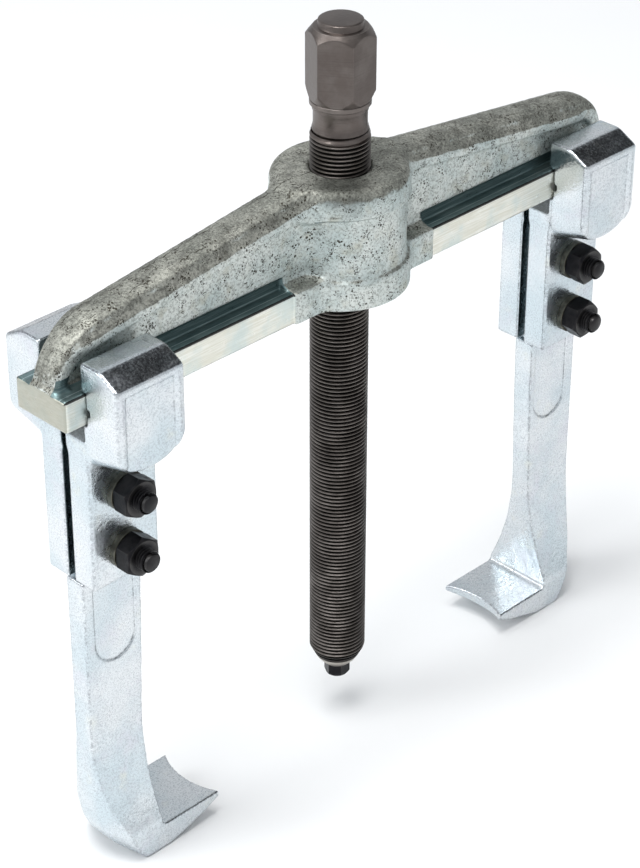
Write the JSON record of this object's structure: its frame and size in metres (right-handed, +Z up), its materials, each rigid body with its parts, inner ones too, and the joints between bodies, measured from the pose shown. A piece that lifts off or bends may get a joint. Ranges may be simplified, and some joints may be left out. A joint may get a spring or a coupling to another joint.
{
  "type": "gear puller",
  "caption": "Bar-type gear puller: forged crossbeam with a threaded centre spindle and sliding clamp legs that end in inward hooks.",
  "frame": {"origin": "on the spindle axis, level with the soles of the two hooks", "axes": "+X along the crossbeam to the right, -Y the front with the nuts, +Z up along the spindle to the drive hexagon"},
  "size_m": [0.346, 0.072, 0.3671],
  "materials": {
    "forged_zinc": "zinc-plated rough forging",
    "zinc_plate": "bright zinc plate, pale blue",
    "burnished_steel": "dark burnished steel",
    "black_oxide": "black oxide",
    "olive_zinc": "dull olive plate"
  },
  "bodies": {
    "beam": {"crossbeam": "forged_zinc"},
    "thrust_pin": {"pressure_pin": "black_oxide"},
    "screw": {"spindle": "burnished_steel"},
    "left_leg": {"left_front_jaw": "zinc_plate", "left_back_jaw": "zinc_plate", "left_hook": "zinc_plate", "left_upper_bolt": "black_oxide", "left_lower_bolt": "black_oxide", "left_upper_nut": "black_oxide", "left_lower_nut": "black_oxide", "left_upper_washer": "olive_zinc", "left_lower_washer": "olive_zinc"},
    "right_leg": {"right_front_jaw": "zinc_plate", "right_back_jaw": "zinc_plate", "right_hook": "zinc_plate", "right_upper_bolt": "black_oxide", "right_lower_bolt": "black_oxide", "right_upper_nut": "black_oxide", "right_lower_nut": "black_oxide", "right_upper_washer": "olive_zinc", "right_lower_washer": "olive_zinc"}
  },
  "joints": [
    {"name": "left_leg_slide", "type": "slide", "parent": "beam", "child": "left_leg", "axis": [1, 0, 0], "range_m": [-0.01, 0.0815]},
    {"name": "right_leg_slide", "type": "slide", "parent": "beam", "child": "right_leg", "axis": [1, 0, 0], "range_m": [-0.0838, 0.008]},
    {"name": "spindle_feed", "type": "slide", "parent": "beam", "child": "thrust_pin", "axis": [0, 0, 1], "range_m": [-0.0161, 0.2001]},
    {"name": "spindle_turn", "type": "hinge", "parent": "thrust_pin", "child": "screw", "pos_m": [0, 0, 0.3], "axis": [0, 0, 1], "range_deg": [-2880, 36000]}
  ],
  "couplings": [
    {"joint": "spindle_feed", "follows": "spindle_turn", "m_per_rad": 0.00031831}
  ]
}
